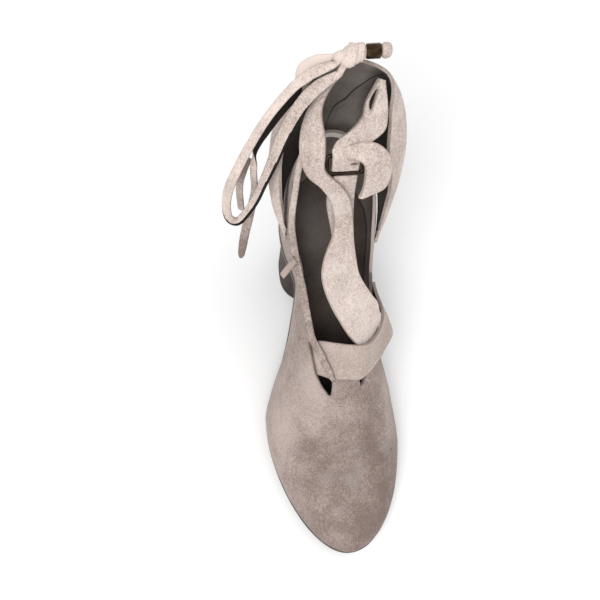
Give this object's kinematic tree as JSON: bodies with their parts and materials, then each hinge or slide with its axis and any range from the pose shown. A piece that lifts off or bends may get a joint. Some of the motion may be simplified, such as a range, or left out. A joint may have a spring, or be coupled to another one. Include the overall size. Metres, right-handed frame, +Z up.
{
  "type": "closed-toe strappy block-heel shoe",
  "caption": "Women's closed-toe suede shoe with a split vamp, crossed wrap straps, a buckled ankle strap, a tied bow behind the ankle and a chunky block heel.",
  "frame": {"origin": "on the floor, under the middle of the shoe's box measured without its bow", "axes": "+X to the toe, +Y to the inner side of the foot, +Z up"},
  "size_m": [0.242, 0.1055, 0.1944],
  "materials": {
    "suede": "matt suede with a short nap",
    "insole_leather": "dark smooth lining leather",
    "outsole_leather": "dark edge-dressed sole leather",
    "heel_block": "dark semi-gloss block with upright streaks",
    "top_piece_rubber": "matt black",
    "dark_bronze": "dark antique bronze"
  },
  "bodies": {
    "root": {"outsole": "outsole_leather", "heel": "heel_block", "heel_top_piece": "top_piece_rubber", "upper": "suede", "insole": "insole_leather", "cross_strap": "suede", "wrap_strap": "suede", "buckle_strap": "suede", "ankle_strap": "suede", "ankle_band": "suede", "lace_keeper": "suede", "buckle_frame": "dark_bronze", "side_lace": "suede", "bow_loop": "suede", "tie_end": "suede", "tie_inner": "suede", "tie_knot": "suede", "tie_tube": "dark_bronze", "tie_tip": "suede"}
  },
  "joints": []
}
